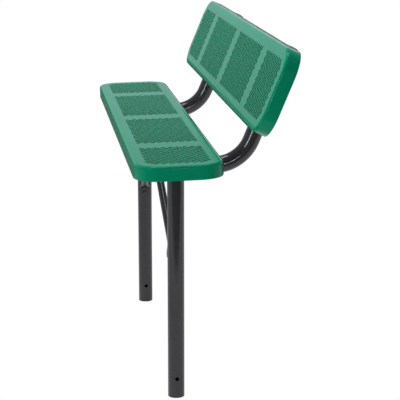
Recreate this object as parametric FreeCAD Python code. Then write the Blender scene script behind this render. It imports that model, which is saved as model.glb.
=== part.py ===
import FreeCAD, Part

import math
import os

# Park bench with a backrest, on two posts that are set in the ground.
# All lengths are in millimetres.  +X runs along the bench, +Y from the sitter's knees to the
# back, +Z up.  The origin is midway between the two posts at the finished ground line.

V = FreeCAD.Vector

# ---- overall layout ----
SEAT_TOP = 457.0            # seat surface above the ground line
SEAT_Y = -23.0              # seat centre line, forward of the posts
SEAT_RISE = 1.1             # seat and arms rise this much towards the back, degrees
BACK_Y = 276.0              # centre of the back panel's front surface
BACK_Z = 690.0
RECLINE = 22.5              # back panel's lean from vertical, degrees
POST_X = 569.0              # posts and arms stand this far from the bench's middle
POST_EMBED = 476.0          # length of post below the ground line
SIDES = (("left", -1), ("right", 1))

# ---- seat and back pans ----
PAN_LENGTH = 1828.8
PAN_WIDTH = 302.0
PAN_DEPTH = 50.0            # top surface to the rim's lower edge
PAN_CORNER = 85.0           # corner radius in plan
PAN_ROLL = 10.5             # radius rolled from the top surface into the rim
PAN_SHEET = 4.0             # steel sheet with its coating

# ---- perforations ----
HOLE_R = 7.8
HOLE_PITCH = 25.4           # hole spacing within one row
HOLE_ROWS = 17
ROW_STEP = HOLE_PITCH / 2   # rows and columns are staggered by half a pitch
STRIP_STEPS = 44            # plain cross strips are this many row steps apart
STRIP_CLEAR = 3             # row steps on each side of a strip's middle that carry no hole
FIELD_END_STEPS = 68        # the outermost column, in row steps from the middle
END_CORNER_STEPS = 2        # the outer fields' end corners are cut off by this many steps

# ---- tubes ----
TUBE_R = 60.3 / 2
TUBE_WALL = 3.2
NOTCH_GAP = 3.0              # room round an arm where it passes through a rim
MOUNT_DROP = 77.5           # pan surface to the centre line of the tube that carries it
BEND_R = 140.0              # arm's bend, on the centre line
ARM_FRONT = -115.0          # arm's front end, from the seat centre line
ARM_TOP = 144.5             # arm's top end, from the back's centre, along the back
CROSS_HOLE_R = 7.5
CROSS_HOLE_UP = 73.0        # cross hole above the post's lower end
WELD_LEG = 5.0

# ---- caps ----
CAP_DOME = 4.0
CAP_PLUG = 14.0
CAP_GAP = 0.2

# ---- cross channels and mounting straps ----
CHANNEL_SHEET = 3.0
CHANNEL_CROWN = 60.0        # width of the channel's crown, which lies on the pan
FLANGE_OUT = 75.0           # flange edge from the channel's middle
CHANNEL_LENGTH = 256.0
STRAP_THICK = 5.0
STRAP_WIDTH = 40.0
STRAP_LENGTH = 150.0
STRAP_AT = 75.0             # straps sit this far each side of the pan's centre line
BOLT_OUT = 55.0             # bolts from the channel's middle
BEAD_NEAR = 6.0
BEAD_FAR = 16.0

# ---- braces ----
BRACE_R = 28.6 / 2
BRACE_WALL = 2.4
TONGUE_THICK = 5.0
TONGUE_WIDTH = 50.0
TONGUE_SLIM = 40.0          # width past the shoulders, at the bolt
TONGUE_CORNER = 9.0
TONGUE_TIP = 20.0           # tongue's end beyond its bolt
TONGUE_BEND = 22.0          # tongue's bend beyond its bolt, on the tube's side
TONGUE_FLARE = 62.0         # length over which the round tube is pressed flat
BRACE_BOLT_Z = 24.0         # bolt on the post, above the ground line
BRACE_LOW_Y = -4.0          # bolt on the post, across it
BRACE_TOP_Y = -12.0         # bolt under the seat, from the seat centre line
COLLAR = 0.35                # how far the flare stands out from the tube it joins
COLLAR_LAP = 2.0             # how far the tube runs into the flare
FLARE_STEPS = 6
OVAL_POINTS = 32

# ---- fasteners ----
BOLT_R = 5.0
BOLT_HOLE_R = 5.5
HEAD_ACROSS = 17.0
HEAD_H = 6.4
NUT_H = 8.0
WASHER_R = 10.5
WASHER_H = 2.0
BOLT_TAIL = 3.0
POST_BOLT_REACH = 14.0


def rounded_plan(length, width, radius):
    """Closed wire: a rectangle with rounded corners, centred on the origin."""
    x = length / 2 - radius
    y = width / 2 - radius
    half = radius * math.sqrt(0.5)
    edges = []
    for cx, cy, turn in ((x, y, 0), (-x, y, 90), (-x, -y, 180), (x, -y, 270)):
        spin = FreeCAD.Rotation(V(0, 0, 1), turn)
        centre = V(cx, cy, 0)
        first = centre + spin.multVec(V(radius, 0, 0))
        middle = centre + spin.multVec(V(half, half, 0))
        last = centre + spin.multVec(V(0, radius, 0))
        if edges:
            edges.append(Part.makeLine(edges[-1].lastVertex().Point, first))
        edges.append(Part.Arc(first, middle, last).toShape())
    edges.append(Part.makeLine(edges[-1].lastVertex().Point, edges[0].firstVertex().Point))
    return Part.Wire(edges)


def rounded_block(length, width, radius, top, bottom, roll):
    """Prism with a rounded plan whose upper edge is rolled over."""
    face = Part.Face(rounded_plan(length, width, radius))
    block = face.extrude(V(0, 0, top - bottom))
    block.translate(V(0, 0, bottom))
    upper = [e for e in block.Edges if min(v.Z for v in e.Vertexes) > top - 1e-3]
    return block.makeFillet(roll, upper)


def field_columns():
    """Column numbers, in row steps from the middle, that carry holes."""
    columns = []
    for step in range(-FIELD_END_STEPS, FIELD_END_STEPS + 1):
        to_strip = abs(step - STRIP_STEPS * round(step / STRIP_STEPS))
        if to_strip > STRIP_CLEAR:
            columns.append(step)
    return columns


def hole_centres():
    """Staggered grid of holes: plain strips cross it, and its end corners are cut off."""
    centres = []
    half_rows = HOLE_ROWS // 2
    for column in field_columns():
        from_end = FIELD_END_STEPS - abs(column)
        for row in range(-half_rows, half_rows + 1):
            if (row + column) % 2:
                continue
            from_side = half_rows - abs(row)
            if from_end + from_side < END_CORNER_STEPS:
                continue
            centres.append((column * ROW_STEP, row * ROW_STEP))
    return centres


def pan():
    """Perforated pan: top surface at z = 0, rim below it with a notch at +Y for each arm."""
    outer = rounded_block(PAN_LENGTH, PAN_WIDTH, PAN_CORNER, 0.0, -PAN_DEPTH, PAN_ROLL)
    inner = rounded_block(
        PAN_LENGTH - 2 * PAN_SHEET,
        PAN_WIDTH - 2 * PAN_SHEET,
        PAN_CORNER - PAN_SHEET,
        -PAN_SHEET,
        -PAN_DEPTH - 1.0,
        PAN_ROLL - PAN_SHEET,
    )
    shell = outer.cut(inner)
    punch_length = (FIELD_END_STEPS + 1) * 2 * ROW_STEP
    punch_width = (HOLE_ROWS + 1) * ROW_STEP
    window = Part.makeBox(
        punch_length, punch_width, PAN_SHEET + 2.0,
        V(-punch_length / 2, -punch_width / 2, -PAN_SHEET - 1.0),
    )
    rim = shell.cut(window)
    corners = (
        V(-punch_length / 2, -punch_width / 2, -PAN_SHEET),
        V(punch_length / 2, -punch_width / 2, -PAN_SHEET),
        V(punch_length / 2, punch_width / 2, -PAN_SHEET),
        V(-punch_length / 2, punch_width / 2, -PAN_SHEET),
    )
    border = Part.makePolygon(list(corners) + [corners[0]])
    rings = []
    for x, y in hole_centres():
        rings.append(Part.Wire(Part.makeCircle(HOLE_R, V(x, y, -PAN_SHEET))))
    sieve = Part.Face([border] + rings).extrude(V(0, 0, PAN_SHEET))
    panel = rim.fuse(sieve).removeSplitter()
    for _, side in SIDES:
        start = V(side * POST_X, 0, -MOUNT_DROP)
        panel = panel.cut(Part.makeCylinder(TUBE_R + NOTCH_GAP, PAN_WIDTH, start, V(0, 1, 0)))
    return panel


def on_seat(shape):
    """Copy of a shape from the pan's own frame into the seat's place."""
    placed = shape.copy()
    placed.rotate(V(0, 0, 0), V(1, 0, 0), SEAT_RISE)
    placed.translate(V(0, SEAT_Y, SEAT_TOP))
    return placed


def on_back(shape):
    """Copy of a shape from the pan's own frame into the back's place."""
    placed = shape.copy()
    placed.rotate(V(0, 0, 0), V(1, 0, 0), 90.0 - RECLINE)
    placed.translate(V(0, BACK_Y, BACK_Z))
    return placed


def heading(degrees):
    """Unit vector in the Y-Z plane, turned up from +Y."""
    angle = math.radians(degrees)
    return V(0, math.cos(angle), math.sin(angle))


def seat_point(x, y, z):
    """Point of the seat pan's frame, in the bench's frame."""
    return V(x, SEAT_Y, SEAT_TOP) + heading(SEAT_RISE) * y + heading(SEAT_RISE + 90) * z


def arm_points(x):
    """Centre line of an arm: front end, bend start, bend middle, bend end, top end."""
    run = heading(SEAT_RISE)
    rise = heading(90 - RECLINE)
    level = seat_point(x, 0, -MOUNT_DROP)
    behind = V(x, BACK_Y, BACK_Z) + heading(-RECLINE) * MOUNT_DROP
    across = run.cross(rise).x
    corner = level + run * ((behind - level).cross(rise).x / across)
    turn = math.radians(90 - RECLINE - SEAT_RISE)
    reach = BEND_R * math.tan(turn / 2)
    start = corner - run * reach
    centre = start + heading(SEAT_RISE + 90) * BEND_R
    outward = corner - centre
    outward.normalize()
    return (
        level + run * ARM_FRONT, start, centre + outward * BEND_R,
        corner + rise * reach, behind + rise * ARM_TOP,
    )


def arm_solid(x, radius):
    """Round bar along an arm's centre line."""
    front, start, middle, end, top = arm_points(x)
    path = Part.Wire([
        Part.makeLine(front, start),
        Part.Arc(start, middle, end).toShape(),
        Part.makeLine(end, top),
    ])
    ring = Part.Wire(Part.makeCircle(radius, front, heading(SEAT_RISE)))
    return path.makePipeShell([ring], True, True)


def arm(x):
    """Bent arm tube."""
    return arm_solid(x, TUBE_R).cut(arm_solid(x, TUBE_R - TUBE_WALL))


def arm_over_post(x, radius):
    """Round bar in place of the part of an arm that lies on its post."""
    run = heading(SEAT_RISE)
    return Part.makeCylinder(radius, 4 * TUBE_R, post_top(x) - run * 2 * TUBE_R, run)


def post_top(x):
    """Point where a post's axis meets its arm's axis."""
    level = seat_point(x, 0, -MOUNT_DROP)
    return V(x, 0, level.z - level.y * math.tan(math.radians(SEAT_RISE)))


def post(x, side):
    """Post pipe, coped to the arm above it, with its cross hole and the brace bolt's hole."""
    height = POST_EMBED + post_top(x).z
    foot = V(x, 0, -POST_EMBED)
    pipe = Part.makeCylinder(TUBE_R, height, foot)
    pipe = pipe.cut(Part.makeCylinder(TUBE_R - TUBE_WALL, height, foot))
    cross_z = -POST_EMBED + CROSS_HOLE_UP
    cross = Part.makeCylinder(CROSS_HOLE_R, 4 * TUBE_R, V(x - 2 * TUBE_R, 0, cross_z), V(1, 0, 0))
    bolt_at = V(x, BRACE_LOW_Y, BRACE_BOLT_Z)
    bolt_hole = Part.makeCylinder(BOLT_HOLE_R, 2 * TUBE_R, bolt_at, V(-side, 0, 0))
    return pipe.cut(arm_over_post(x, TUBE_R)).cut(cross).cut(bolt_hole)


def post_weld(x):
    """Bead round the joint of a post and its arm, formed at mid-length and moved out."""
    reach = TUBE_R + WELD_LEG
    foot = post_top(0) - V(0, 0, reach + WELD_LEG)
    bead = Part.makeCylinder(reach, reach + WELD_LEG, foot)
    bead = bead.cut(Part.makeCylinder(TUBE_R, 2 * reach, foot))
    bead = bead.cut(arm_over_post(0, TUBE_R)).common(arm_over_post(0, reach))
    bead.translate(V(x, 0, 0))
    return bead


def end_cap(place, outward):
    """Domed cap with a plug that sits in the end of a tube."""
    inner = TUBE_R - TUBE_WALL - CAP_GAP
    sphere_r = (TUBE_R ** 2 + CAP_DOME ** 2) / (2 * CAP_DOME)
    dome = Part.makeSphere(sphere_r, V(0, 0, CAP_DOME - sphere_r))
    dome = dome.common(Part.makeCylinder(TUBE_R, CAP_DOME, V(0, 0, 0)))
    plug = Part.makeCylinder(inner, CAP_PLUG, V(0, 0, -CAP_PLUG))
    plug = plug.makeChamfer(1.5, [plug.Edges[2]])
    cap = dome.fuse(plug)
    cap.Placement = FreeCAD.Placement(place, FreeCAD.Rotation(V(0, 0, 1), outward))
    return cap


def channel(x):
    """Hat-shaped cross channel in the pan's frame: crown on the pan, flanges on the straps."""
    crown = -PAN_SHEET
    foot = -(MOUNT_DROP - TUBE_R - STRAP_THICK)
    half = CHANNEL_CROWN / 2
    t = CHANNEL_SHEET
    outline = (
        (-FLANGE_OUT, foot), (-half + t, foot), (-half + t, crown - t), (half - t, crown - t),
        (half - t, foot), (FLANGE_OUT, foot), (FLANGE_OUT, foot + t), (half, foot + t),
        (half, crown), (-half, crown), (-half, foot + t), (-FLANGE_OUT, foot + t),
    )
    points = [V(x + dx, -CHANNEL_LENGTH / 2, z) for dx, z in outline]
    face = Part.Face(Part.makePolygon(points + [points[0]]))
    return face.extrude(V(0, CHANNEL_LENGTH, 0))


def drill(shape, spots, low, high):
    """Bolt holes through a shape at (x, y) spots."""
    for x, y in spots:
        shape = shape.cut(Part.makeCylinder(BOLT_HOLE_R, high - low, V(x, y, low)))
    return shape


def pan_bolt_spots(x):
    """Bolts that hold a pan to one arm."""
    return [(x + sx * BOLT_OUT, sy * STRAP_AT) for sx in (-1, 1) for sy in (-1, 1)]


def brace_bolt_spots():
    """Bolts that hold the braces under the middle of the seat, in the pan's frame."""
    return [(side * BOLT_OUT, BRACE_TOP_Y) for _, side in SIDES]


def strap(x, y):
    """Flat mounting strap across an arm, in the pan's frame."""
    low = -(MOUNT_DROP - TUBE_R)
    plan = rounded_plan(STRAP_LENGTH, STRAP_WIDTH, 6.0)
    plate = Part.Face(plan).extrude(V(0, 0, STRAP_THICK))
    plate.translate(V(x, y, low))
    spots = [(x - BOLT_OUT, y), (x + BOLT_OUT, y)]
    return drill(plate, spots, low - 1.0, low + STRAP_THICK + 1.0)


def strap_beads():
    """Weld beads that fill the corner between each strap and its arm, in the pan's frame."""
    plane = -(MOUNT_DROP - TUBE_R)
    beads = []
    for _, side in SIDES:
        x = side * POST_X
        for y in (-STRAP_AT, STRAP_AT):
            width = STRAP_WIDTH - 4.0
            tube = Part.makeCylinder(TUBE_R, width, V(x, y - width / 2, -MOUNT_DROP), V(0, 1, 0))
            for sx in (-1, 1):
                left = min(sx * BEAD_NEAR, sx * BEAD_FAR)
                block = Part.makeBox(
                    BEAD_FAR - BEAD_NEAR, width, BEAD_FAR,
                    V(x + left, y - width / 2, plane - BEAD_FAR),
                )
                face = Part.Face(Part.makePolygon([
                    V(x + sx * BEAD_FAR, y - width / 2, plane),
                    V(x + sx * BEAD_NEAR, y - width / 2, plane),
                    V(x + sx * BEAD_NEAR, y - width / 2, plane - BEAD_NEAR),
                    V(x + sx * BEAD_FAR, y - width / 2, plane),
                ]))
                wedge = face.extrude(V(0, width, 0)).common(block)
                beads.append(wedge.cut(tube))
    return beads


def hexagon(across, height, place, axis):
    """Hexagonal prism standing on a point along an axis."""
    corner = across / math.sqrt(3)
    points = []
    for k in range(6):
        angle = math.radians(60 * k)
        points.append(V(corner * math.cos(angle), corner * math.sin(angle), 0))
    prism = Part.Face(Part.makePolygon(points + [points[0]])).extrude(V(0, 0, height))
    prism.Placement = FreeCAD.Placement(place, FreeCAD.Rotation(V(0, 0, 1), axis))
    return prism


def bolt(place, axis, grip):
    """Hex bolt: the head's underside is at the place, and the shank runs along the axis."""
    head = hexagon(HEAD_ACROSS, HEAD_H, place, -axis)
    crown = Part.makeCone(HEAD_ACROSS * 0.72, HEAD_ACROSS * 0.45, HEAD_H, place, -axis)
    shank = Part.makeCylinder(BOLT_R, grip, place, axis)
    return head.common(crown).fuse(shank)


def washer(place, axis):
    """Flat washer that stands on the place and grows along the axis."""
    disc = Part.makeCylinder(WASHER_R, WASHER_H, place, axis)
    return disc.cut(Part.makeCylinder(BOLT_HOLE_R, WASHER_H, place, axis))


def nut(place, axis):
    """Hex nut that stands on the place and grows along the axis."""
    body = hexagon(HEAD_ACROSS, NUT_H, place, axis)
    return body.cut(Part.makeCylinder(BOLT_R, NUT_H, place, axis))


def fastener_sets(spots, low, stack):
    """Bolts from below, with washers under their heads and nuts on top, in the pan's frame."""
    up = V(0, 0, 1)
    bolts = []
    washers = []
    nuts = []
    for x, y in spots:
        head_seat = V(x, y, low - WASHER_H)
        top = V(x, y, low + stack)
        bolts.append(bolt(head_seat, up, WASHER_H + stack + NUT_H + BOLT_TAIL))
        washers.append(washer(head_seat, up))
        nuts.append(nut(top, up))
    return bolts, washers, nuts


def oval(centre, across, normal, width, thick, squareness):
    """Points round a section in the plane of across and normal: round at 2, boxier above it."""
    points = []
    for k in range(OVAL_POINTS):
        angle = 2 * math.pi * k / OVAL_POINTS
        c = math.cos(angle)
        s = math.sin(angle)
        du = math.copysign(abs(c) ** (2 / squareness), c) * width / 2
        dv = math.copysign(abs(s) ** (2 / squareness), s) * thick / 2
        points.append(centre + across * du + normal * dv)
    return points


def facet(points):
    """Flat face round some points."""
    return Part.Face(Part.makePolygon(points + [points[0]]))


def skin(rings):
    """Solid of flat facets between rings of points, closed at both ends."""
    faces = [facet(rings[0]), facet(rings[-1])]
    for near, far in zip(rings, rings[1:]):
        for k in range(len(near)):
            n = (k + 1) % len(near)
            faces.append(facet([near[k], near[n], far[n]]))
            faces.append(facet([near[k], far[n], far[k]]))
    return Part.makeSolid(Part.makeShell(faces))


def tongue(bolt_at, across, inward, normal):
    """Flat bolted end of a brace, with shoulders: inward points towards the tube."""
    wide = TONGUE_WIDTH / 2
    slim = TONGUE_SLIM / 2
    corner = TONGUE_TIP - TONGUE_CORNER
    half_outline = (
        (wide, TONGUE_BEND), (wide, TONGUE_BEND - TONGUE_CORNER / 2),
        (slim, TONGUE_BEND - TONGUE_CORNER), (slim, -corner),
        (slim - TONGUE_CORNER, -TONGUE_TIP),
    )
    outline = [(-a, b) for a, b in half_outline] + list(reversed(half_outline))
    base = bolt_at - normal * (TONGUE_THICK / 2)
    points = [base + across * a + inward * b for a, b in outline]
    plate = Part.Face(Part.makePolygon(points + [points[0]])).extrude(normal * TONGUE_THICK)
    drill_from = bolt_at - normal * TONGUE_THICK
    return plate.cut(Part.makeCylinder(BOLT_HOLE_R, 2 * TONGUE_THICK, drill_from, normal))


def flare(start, start_across, start_normal, end, end_normal):
    """Faceted transition from a flat tongue at the start to a collar on the tube at the end."""
    collar = 2 * (BRACE_R + COLLAR)
    rings = []
    for k in range(FLARE_STEPS + 1):
        t = k / FLARE_STEPS
        ease = t * t * (3 - 2 * t)
        turned = min(1.0, 3 * t)
        centre = start + (end - start) * t
        normal = start_normal * (1 - turned) + end_normal * turned
        normal.normalize()
        across = start_across * (1 - turned) + V(0, 1, 0) * turned
        across.normalize()
        width = TONGUE_WIDTH + (collar - TONGUE_WIDTH) * ease
        thick = TONGUE_THICK + (collar - TONGUE_THICK) * ease
        rings.append(oval(centre, across, normal, width, thick, 2 + 4 * (1 - ease)))
    return skin(rings)


def brace(side):
    """Brace tube with flattened, bolted ends, from a post to the centre channel."""
    out = V(side, 0, 0)
    up = V(0, 0, 1)
    level = V(0, 1, 0)
    seat_across = heading(SEAT_RISE)
    seat_up = heading(SEAT_RISE + 90)
    low_bolt = V(side * (POST_X - TUBE_R - TONGUE_THICK / 2), BRACE_LOW_Y, BRACE_BOLT_Z)
    flange = -(MOUNT_DROP - TUBE_R - STRAP_THICK)
    high_bolt = seat_point(side * BOLT_OUT, BRACE_TOP_Y, flange - TONGUE_THICK / 2)
    low_bend = low_bolt + up * TONGUE_BEND
    high_bend = high_bolt + out * TONGUE_BEND
    run = high_bend - low_bend
    run.normalize()
    tube_normal = run.cross(level)
    tube_normal.normalize()
    if tube_normal.z < 0:
        tube_normal = -tube_normal
    low_tube = low_bend + run * TONGUE_FLARE
    high_tube = high_bend - run * TONGUE_FLARE
    length = (high_tube - low_tube).Length + 2 * COLLAR_LAP
    tube_foot = low_tube - run * COLLAR_LAP
    tube = Part.makeCylinder(BRACE_R, length, tube_foot, run)
    tube = tube.cut(Part.makeCylinder(BRACE_R - BRACE_WALL, length, tube_foot, run))
    return tube.multiFuse([
        tongue(low_bolt, level, up, out),
        flare(low_bend, level, out, low_tube, tube_normal),
        flare(high_bend, seat_across, seat_up, high_tube, tube_normal),
        tongue(high_bolt, seat_across, out, seat_up),
    ])


def save(name, shape):
    """Write one node; a list of solids becomes one group."""
    if isinstance(shape, list):
        shape = Part.makeCompound(shape)
    shape.exportStep("parts/" + name + ".step")


def write_pans():
    """The two identical perforated pans, each turned so that its notches meet the arms."""
    perforated = pan()
    save("seat_panel", on_seat(perforated))
    perforated.rotate(V(0, 0, 0), V(0, 0, 1), 180)
    save("back_panel", on_back(perforated))


def write_sides():
    """Posts, arms, caps, channels, straps and braces of both sides."""
    for name, side in SIDES:
        x = side * POST_X
        save("post_" + name, post(x, side))
        save("arm_" + name, arm(x))
        save("post_weld_" + name, post_weld(x))
        save("brace_" + name, brace(side))
        ends = arm_points(x)
        save("arm_front_cap_" + name, end_cap(ends[0], -heading(SEAT_RISE)))
        save("arm_top_cap_" + name, end_cap(ends[-1], heading(90 - RECLINE)))
        rib = drill(channel(x), pan_bolt_spots(x), -MOUNT_DROP, -PAN_SHEET - 2 * CHANNEL_SHEET)
        save("seat_channel_" + name, on_seat(rib))
        save("back_channel_" + name, on_back(rib))
        for place, y in (("front", -STRAP_AT), ("rear", STRAP_AT)):
            save("seat_strap_" + place + "_" + name, on_seat(strap(x, y)))
        for place, y in (("lower", -STRAP_AT), ("upper", STRAP_AT)):
            save("back_strap_" + place + "_" + name, on_back(strap(x, y)))


def write_centre():
    """Centre channel and the braces' fasteners."""
    spots = brace_bolt_spots()
    rib = drill(channel(0.0), spots, -MOUNT_DROP, -PAN_SHEET - 2 * CHANNEL_SHEET)
    save("seat_channel_centre", on_seat(rib))
    low = -(MOUNT_DROP - TUBE_R - STRAP_THICK) - TONGUE_THICK
    bolts, washers, nuts = fastener_sets(spots, low, TONGUE_THICK + CHANNEL_SHEET)
    save("brace_top_bolts", [on_seat(b) for b in bolts])
    save("brace_top_washers", [on_seat(w) for w in washers])
    save("brace_top_nuts", [on_seat(n) for n in nuts])
    post_bolts = []
    post_washers = []
    for _, side in SIDES:
        face = V(side * (POST_X - TUBE_R - TONGUE_THICK), BRACE_LOW_Y, BRACE_BOLT_Z)
        outward = V(side, 0, 0)
        seat = face - outward * WASHER_H
        post_washers.append(washer(seat, outward))
        post_bolts.append(bolt(seat, outward, WASHER_H + TONGUE_THICK + POST_BOLT_REACH))
    save("brace_post_bolts", post_bolts)
    save("brace_post_washers", post_washers)


def write_pan_fasteners():
    """Bolts, washers, nuts and strap beads of the seat and of the back."""
    spots = []
    for _, side in SIDES:
        spots += pan_bolt_spots(side * POST_X)
    low = -(MOUNT_DROP - TUBE_R)
    bolts, washers, nuts = fastener_sets(spots, low, STRAP_THICK + CHANNEL_SHEET)
    beads = strap_beads()
    for panel, place in (("seat", on_seat), ("back", on_back)):
        save(panel + "_bolts", [place(b) for b in bolts])
        save(panel + "_washers", [place(w) for w in washers])
        save(panel + "_nuts", [place(n) for n in nuts])
        save(panel + "_strap_beads", [place(b) for b in beads])


os.makedirs("parts", exist_ok=True)
write_pans()
write_sides()
write_centre()
write_pan_fasteners()
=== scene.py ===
import math

import bpy
from mathutils import Matrix, Vector


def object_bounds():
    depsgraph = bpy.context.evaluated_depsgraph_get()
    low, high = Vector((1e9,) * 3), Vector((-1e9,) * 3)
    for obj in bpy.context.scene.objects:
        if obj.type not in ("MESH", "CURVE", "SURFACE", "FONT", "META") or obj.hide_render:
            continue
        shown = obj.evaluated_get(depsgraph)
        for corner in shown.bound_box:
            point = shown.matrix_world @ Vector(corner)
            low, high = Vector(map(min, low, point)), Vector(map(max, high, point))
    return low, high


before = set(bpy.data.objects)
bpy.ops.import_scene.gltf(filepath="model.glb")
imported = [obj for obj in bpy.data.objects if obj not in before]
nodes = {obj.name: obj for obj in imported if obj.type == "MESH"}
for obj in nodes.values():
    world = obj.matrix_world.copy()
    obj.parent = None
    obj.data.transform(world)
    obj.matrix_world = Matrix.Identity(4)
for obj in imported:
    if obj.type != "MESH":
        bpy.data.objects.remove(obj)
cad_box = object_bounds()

# Looks for a park bench: finishes for every node of the frame, a camera, a pale floor and soft
# studio light.  Metres, in the frame's own axes: +X along the bench, +Y from knees to back, +Z up.
scene = bpy.context.scene

# ---------------------------------------------------------------- view
CAMERA_AT = Vector((5.0854, -0.5424, 1.3704))
CAMERA_PITCH = math.radians(13.73)
CAMERA_YAW = math.radians(7.93)
CAMERA_ROLL = math.radians(-0.08)
FOCAL_IN_WIDTHS = 3.3143        # focal length, in widths of the picture
SENSOR_MM = 36.0
VIEW_DEPTH = 200


def make_camera():
    """Camera past the bench's +X end, looking along it with a slight pitch, yaw and roll."""
    data = bpy.data.cameras.new("camera")
    data.sensor_width = SENSOR_MM
    data.lens = FOCAL_IN_WIDTHS * SENSOR_MM
    data.clip_end = VIEW_DEPTH
    cam = bpy.data.objects.new("camera", data)
    scene.collection.objects.link(cam)
    cy, sy = math.cos(CAMERA_YAW), math.sin(CAMERA_YAW)
    cp, sp = math.cos(CAMERA_PITCH), math.sin(CAMERA_PITCH)
    forward = Vector((-cy * cp, sy * cp, -sp))
    right = Vector((sy, cy, 0))
    down = forward.cross(right)
    cr, sr = math.cos(CAMERA_ROLL), math.sin(CAMERA_ROLL)
    across = right * cr + down * sr
    drop = down * cr - right * sr
    turn = Matrix((across, -drop, -forward)).transposed()
    cam.matrix_world = Matrix.Translation(CAMERA_AT) @ turn.to_4x4()
    scene.camera = cam


# ---------------------------------------------------------------- node helpers
class Graph:
    """Short way to write the nodes of a material or of the world."""

    def __init__(self, tree):
        self.tree = tree
        self.place = None

    def node(self, kind, *values, **settings):
        """A node with its settings, and its inputs in order."""
        made = self.tree.nodes.new(kind)
        for key, value in settings.items():
            setattr(made, key, value)
        for socket, value in zip(made.inputs, values):
            self.put(socket, value)
        return made

    def put(self, socket, value):
        """A link from another socket, or a plain value."""
        if isinstance(value, bpy.types.NodeSocket):
            self.tree.links.new(value, socket)
        else:
            socket.default_value = value

    def maths(self, operation, *values):
        """The result of one sum on plain numbers."""
        return self.node("ShaderNodeMath", *values, operation=operation).outputs[0]

    def spot(self):
        """Where a point is on its object, in metres."""
        if self.place is None:
            self.place = self.node("ShaderNodeTexCoord").outputs["Object"]
        return self.place

    def noise(self, scale, detail=3.0, stretch=(1, 1, 1)):
        """Noise over the object, from 0 to 1; the scale is in waves per metre."""
        mapped = self.node("ShaderNodeMapping")
        self.put(mapped.inputs["Vector"], self.spot())
        self.put(mapped.inputs["Scale"], stretch)
        made = self.node("ShaderNodeTexNoise")
        self.put(made.inputs["Vector"], mapped.outputs[0])
        self.put(made.inputs["Scale"], scale)
        self.put(made.inputs["Detail"], detail)
        return made.outputs["Fac"]

    def scaled(self, value, low, high, from_low=0.0, from_high=1.0):
        """A value taken from one range to another, held at its ends."""
        return self.node("ShaderNodeMapRange", value, from_low, from_high, low, high).outputs[0]

    def ramp(self, value, start, end):
        """0 up to the start, then rising to 1 at the end."""
        return self.scaled(value, 0.0, 1.0, start, end)

    def mixed(self, amount, first, second):
        """A colour between two."""
        made = self.node("ShaderNodeMix", data_type="RGBA")
        colours = [s for s in made.inputs if s.type == "RGBA"]
        self.put(made.inputs["Factor"], amount)
        self.put(colours[0], first)
        self.put(colours[1], second)
        return next(s for s in made.outputs if s.type == "RGBA")

    def rounded(self, radius):
        """Normal with edges rounded by a radius in metres."""
        return self.node("ShaderNodeBevel", radius, samples=4).outputs[0]

    def bumped(self, height, depth, normal):
        """Normal raised by a height from 0 to 1 of a depth in metres."""
        made = self.node("ShaderNodeBump")
        self.put(made.inputs["Strength"], 1.0)
        self.put(made.inputs["Distance"], depth)
        self.put(made.inputs["Height"], height)
        self.put(made.inputs["Normal"], normal)
        return made.outputs[0]

    def edge(self, rounded):
        """How far the rounded normal leans from the face's own: 0 on a face, more at an edge."""
        flat = self.node("ShaderNodeNewGeometry").outputs["Normal"]
        lean = self.node("ShaderNodeVectorMath", rounded, flat, operation="DOT_PRODUCT")
        return self.scaled(lean.outputs["Value"], 1.0, 0.0, 0.72, 0.99)


def new_material(name):
    """Empty node material with a Principled shader on its output."""
    mat = bpy.data.materials.new(name)
    mat.use_nodes = True
    mat.node_tree.nodes.clear()
    g = Graph(mat.node_tree)
    out = g.node("ShaderNodeOutputMaterial")
    shader = g.node("ShaderNodeBsdfPrincipled")
    g.put(out.inputs["Surface"], shader.outputs[0])
    return mat, g, shader


# ---------------------------------------------------------------- materials
GREEN = (0.001, 0.280, 0.142, 1)
GREEN_PALE = (0.002, 0.305, 0.160, 1)
# painted shade: the deeper green laid on edges and hole rims
GREEN_EDGE_SHADE = (0.0005, 0.170, 0.080, 1)
PAINT = (0.030, 0.029, 0.033, 1)
PAINT_PALE = (0.038, 0.037, 0.041, 1)
PAINT_WORN = (0.10, 0.10, 0.105, 1)
CAP_BLACK = (0.014, 0.014, 0.015, 1)
CAP_SCUFF = (0.034, 0.034, 0.035, 1)
ZINC = (0.55, 0.56, 0.58, 1)
ZINC_DULL = (0.36, 0.36, 0.37, 1)
CLOUDY = (0.35, 0.65)           # the part of a noise's range that shows as a broad change
PATCHY = (0.3, 0.7)             # the same for roughness, a little softer

PAN_HALF = 0.151                # half the width of the seat and back pans
PAN_SLOPE = 0.022               # width of the fall along their long edges
PAN_FALL = 0.0055
SEAT_ACROSS = (0, 1, 0)
SEAT_MIDDLE = -0.023
BACK_ACROSS = (0, 0.3827, 0.9239)
BACK_MIDDLE = 0.7431

COAT_ROUND = 0.0018             # how much each finish softens the edges under it
PAINT_ROUND = 0.0015
BEAD_ROUND = 0.002
CAP_ROUND = 0.0008
STEEL_ROUND = 0.0006

SAG_DEPTH = 0.00012             # how deep each finish's relief is
PEEL_DEPTH = 0.00002
GRAIN_DEPTH = 0.000012
RIPPLE_DEPTH = 0.0012
BEAD_GRAIN_DEPTH = 0.00003
SPARK_DEPTH = 0.00004
MARK_DEPTH = 0.00004


def pan_fall(g, across, middle):
    """Height from 1 to 0, falling faster and faster over the last stretch before a long edge."""
    along = g.node("ShaderNodeVectorMath", g.spot(), across, operation="DOT_PRODUCT")
    out = g.maths("ABSOLUTE", g.maths("SUBTRACT", along.outputs["Value"], middle))
    near = g.ramp(out, PAN_HALF - PAN_SLOPE, PAN_HALF)
    return g.scaled(g.maths("MULTIPLY", near, near), 1.0, 0.0)


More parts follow.
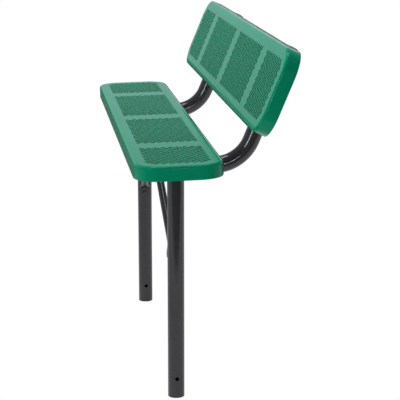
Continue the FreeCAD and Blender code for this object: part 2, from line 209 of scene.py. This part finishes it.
def green_coating(name, across, middle):
    """Thick glossy plastic coating on punched sheet: soft edges, faint orange peel and sags.

    The sheet falls away gently along its two long edges, before the tighter roll.
    """
    mat, g, shader = new_material(name)
    edges = g.rounded(COAT_ROUND)
    broad = g.noise(2.3, detail=2.0)
    peel = g.noise(160.0, detail=2.0)
    sags = g.noise(22.0, detail=2.0)
    base = g.mixed(g.ramp(broad, *CLOUDY), GREEN, GREEN_PALE)
    # painted shade: the green deepens where the rounded normal leans from the face, along edges
    # and hole rims
    base = g.mixed(g.scaled(g.edge(edges), 0.0, 0.75), base, GREEN_EDGE_SHADE)
    g.put(shader.inputs["Base Color"], base)
    g.put(shader.inputs["Roughness"], g.scaled(sags, 0.10, 0.15, *PATCHY))
    normal = g.bumped(pan_fall(g, across, middle), PAN_FALL, edges)
    normal = g.bumped(sags, SAG_DEPTH, normal)
    g.put(shader.inputs["Normal"], g.bumped(peel, PEEL_DEPTH, normal))
    g.put(shader.inputs["IOR"], 1.2)
    return mat


def frame_paint():
    """Charcoal powder coat: fine grain, slight colour drift, thin spots at edges."""
    mat, g, shader = new_material("frame_paint")
    edges = g.rounded(PAINT_ROUND)
    grain = g.noise(500.0, detail=2.0)
    drift = g.noise(6.0)
    specks = g.noise(420.0, detail=1.0)
    base = g.mixed(g.ramp(drift, *CLOUDY), PAINT, PAINT_PALE)
    base = g.mixed(g.scaled(specks, 0.0, 0.35, 0.62, 0.75), base, PAINT_WORN)
    worn = g.maths("MULTIPLY", g.edge(edges), g.scaled(drift, 0.1, 0.8, 0.45, 0.6))
    g.put(shader.inputs["Base Color"], g.mixed(worn, base, PAINT_WORN))
    g.put(shader.inputs["Roughness"], g.scaled(drift, 0.08, 0.14, *PATCHY))
    g.put(shader.inputs["Normal"], g.bumped(grain, GRAIN_DEPTH, edges))
    g.put(shader.inputs["IOR"], 1.52)
    return mat


def weld_paint():
    """Paint over a weld bead's ripples."""
    mat, g, shader = new_material("weld_paint")
    grain = g.noise(900.0, detail=2.0)
    ripples = g.noise(260.0, detail=2.0, stretch=(1, 1, 0.35))
    g.put(shader.inputs["Base Color"], g.mixed(ripples, PAINT, PAINT_PALE))
    g.put(shader.inputs["Roughness"], g.scaled(ripples, 0.3, 0.5))
    normal = g.bumped(ripples, RIPPLE_DEPTH, g.rounded(BEAD_ROUND))
    g.put(shader.inputs["Normal"], g.bumped(grain, BEAD_GRAIN_DEPTH, normal))
    return mat


def cap_plastic():
    """Moulded black plastic with a fine spark texture and light scuffs."""
    mat, g, shader = new_material("cap_plastic")
    spark = g.noise(1400.0, detail=2.0)
    scuffs = g.noise(90.0, detail=4.0, stretch=(1, 0.2, 1))
    worn = g.scaled(scuffs, 0.0, 0.6, 0.55, 0.75)
    g.put(shader.inputs["Base Color"], g.mixed(worn, CAP_BLACK, CAP_SCUFF))
    g.put(shader.inputs["Roughness"], g.scaled(scuffs, 0.42, 0.62))
    g.put(shader.inputs["Normal"], g.bumped(spark, SPARK_DEPTH, g.rounded(CAP_ROUND)))
    return mat


def fastener_steel():
    """Bright zinc plate: cloudy dulling and fine turning marks."""
    mat, g, shader = new_material("fastener_steel")
    cloud = g.noise(120.0, detail=4.0)
    marks = g.noise(700.0, detail=1.0, stretch=(1, 1, 0.1))
    g.put(shader.inputs["Base Color"], g.mixed(g.ramp(cloud, *CLOUDY), ZINC, ZINC_DULL))
    g.put(shader.inputs["Roughness"], g.scaled(cloud, 0.28, 0.48, *PATCHY))
    g.put(shader.inputs["Metallic"], 1.0)
    g.put(shader.inputs["Normal"], g.bumped(marks, MARK_DEPTH, g.rounded(STEEL_ROUND)))
    return mat


def material_for(name, made):
    """Which finish a node of the frame has."""
    if name.endswith("_panel") or "_channel_" in name:
        return made["back_coating" if name.startswith("back_") else "seat_coating"]
    if "weld" in name or "beads" in name:
        return made["weld_paint"]
    if "_cap_" in name:
        return made["cap_plastic"]
    if name.startswith("brace_"):
        return made["frame_paint"]
    if name.endswith(("bolts", "nuts", "washers")):
        return made["fastener_steel"]
    return made["frame_paint"]


def make_materials():
    """Gives each node of the frame its finish."""
    finishes = (frame_paint, weld_paint, cap_plastic, fastener_steel)
    made = {finish.__name__: finish() for finish in finishes}
    made["seat_coating"] = green_coating("seat_coating", SEAT_ACROSS, SEAT_MIDDLE)
    made["back_coating"] = green_coating("back_coating", BACK_ACROSS, BACK_MIDDLE)
    for name, obj in nodes.items():
        obj.data.materials.clear()
        obj.data.materials.append(material_for(name, made))


# ---------------------------------------------------------------- studio
FLOOR_DROP = 0.002              # floor below the bench's lowest point
FLOOR_HALF = 60.0
WHITE = (1, 1, 1, 1)
FLOOR_DULL = (0.8, 0.8, 0.8, 1)
PATCH_FAR = (-2.8, -1.6)        # the pale patch under the bench fades in over this stretch of X
PATCH_NEAR = (1.9, 2.5)         # and out again over this one
PATCH_EDGE = 0.08               # what is left of it on the camera's side
SKY = (0.92, 1.02, 1.14, 1)

# Name, place, target, size, radiance, and whether the bench mirrors it.
BENCH = (0, 0, 0.4)
SOFTBOXES = (
    ("top_box", (-0.3, 0.1, 4.0), BENCH, (2.2, 1.8), 4.6, True),
    ("top_fill", (-1.5, -2.2, 3.8), BENCH, (4.0, 4.0), 2.25, False),
    ("front_fill", (-1.0, -4.5, 1.6), BENCH, (5.0, 2.5), 1.0, False),
    ("end_fill", (5.5, -1.2, 2.0), BENCH, (3.0, 3.0), 0.12, False),
    ("eye_strip", (5.0, 0.5, 0.8), (0.57, 0.2, 0.45), (1.0, 0.12), 30, True),
    ("side_strip", (3.9, -2.7, 1.45), (0.57, 0.3, 0.6), (0.5, 1.2), 18, True),
)


def mirrored_floor(g):
    """How bright the floor looks in the bench: a pale patch under it, dark ground beyond."""
    at = g.node("ShaderNodeSeparateXYZ", g.node("ShaderNodeNewGeometry").outputs["Position"])
    x, y = at.outputs["X"], at.outputs["Y"]
    behind = g.scaled(y, 0.65, 0.85, -1.2, 0.6)
    facing = g.scaled(x, 0.0, 0.95, -0.5, 2.0)
    dark = g.scaled(y, 0.14, 0.02, -0.3, 0.3)
    far = g.scaled(x, dark, 1.0, *PATCH_FAR)
    close = g.scaled(x, 1.0, PATCH_EDGE, *PATCH_NEAR)
    glow = g.maths("MULTIPLY", g.maths("MAXIMUM", behind, facing), far)
    return g.maths("MULTIPLY", glow, close)


def floor_material():
    """Plain white to the camera, a patch of light in reflections, pale and dull to the rest."""
    mat = bpy.data.materials.new("floor")
    mat.use_nodes = True
    mat.node_tree.nodes.clear()
    g = Graph(mat.node_tree)
    rays = g.node("ShaderNodeLightPath").outputs
    shown = g.node("ShaderNodeEmission", WHITE, 1.0).outputs[0]
    mirrored = g.node("ShaderNodeEmission", WHITE, mirrored_floor(g)).outputs[0]
    dull = g.node("ShaderNodeBsdfDiffuse", FLOOR_DULL).outputs[0]
    unseen = g.node("ShaderNodeMixShader", rays["Is Glossy Ray"], dull, mirrored).outputs[0]
    surface = g.node("ShaderNodeMixShader", rays["Is Camera Ray"], unseen, shown).outputs[0]
    g.put(g.node("ShaderNodeOutputMaterial").inputs["Surface"], surface)
    return mat


def make_floor():
    """Flat floor just under the bench."""
    low = cad_box[0][2] - FLOOR_DROP
    h = FLOOR_HALF
    mesh = bpy.data.meshes.new("floor")
    mesh.from_pydata([(-h, -h, low), (h, -h, low), (h, h, low), (-h, h, low)], [], [(0, 1, 2, 3)])
    mesh.materials.append(floor_material())
    floor = bpy.data.objects.new("floor", mesh)
    scene.collection.objects.link(floor)


def softbox(name, at, aim, size, radiance, mirrored):
    """Rectangular area light at a place, turned to a target, with an even radiance."""
    data = bpy.data.lights.new(name, "AREA")
    data.shape = "RECTANGLE"
    data.size, data.size_y = size
    data.energy = radiance * math.pi * size[0] * size[1]
    light = bpy.data.objects.new(name, data)
    scene.collection.objects.link(light)
    light.location = at
    light.rotation_euler = (Vector(aim) - Vector(at)).to_track_quat("-Z", "Y").to_euler()
    light.visible_glossy = mirrored


def make_world():
    """Surroundings: brighter low down on the far side, most of all behind the bench, else dim."""
    world = bpy.data.worlds.new("studio")
    world.use_nodes = True
    scene.world = world
    g = Graph(world.node_tree)
    direction = g.node("ShaderNodeTexCoord").outputs["Generated"]
    parts = g.node("ShaderNodeSeparateXYZ", direction).outputs
    sides = g.scaled(parts["X"], 1.0, 0.35, -0.5, 0.6)
    above = g.scaled(parts["Z"], 0.52, 0.22, 0.2, 0.42)
    low = g.scaled(parts["Z"], 1.0, 0.0, 0.1, 0.2)
    behind = g.scaled(parts["Y"], 0.0, 0.9, 0.15, 0.24)
    band = g.maths("MULTIPLY_ADD", low, behind, 1.0)
    total = g.maths("MULTIPLY", g.maths("MULTIPLY", sides, above), band)
    backdrop = world.node_tree.nodes["Background"]
    g.put(backdrop.inputs["Color"], SKY)
    g.put(backdrop.inputs["Strength"], total)


def make_studio():
    """Floor, surroundings and lights."""
    make_floor()
    make_world()
    for row in SOFTBOXES:
        softbox(*row)


make_camera()
make_materials()
make_studio()
scene.view_settings.view_transform = "Standard"
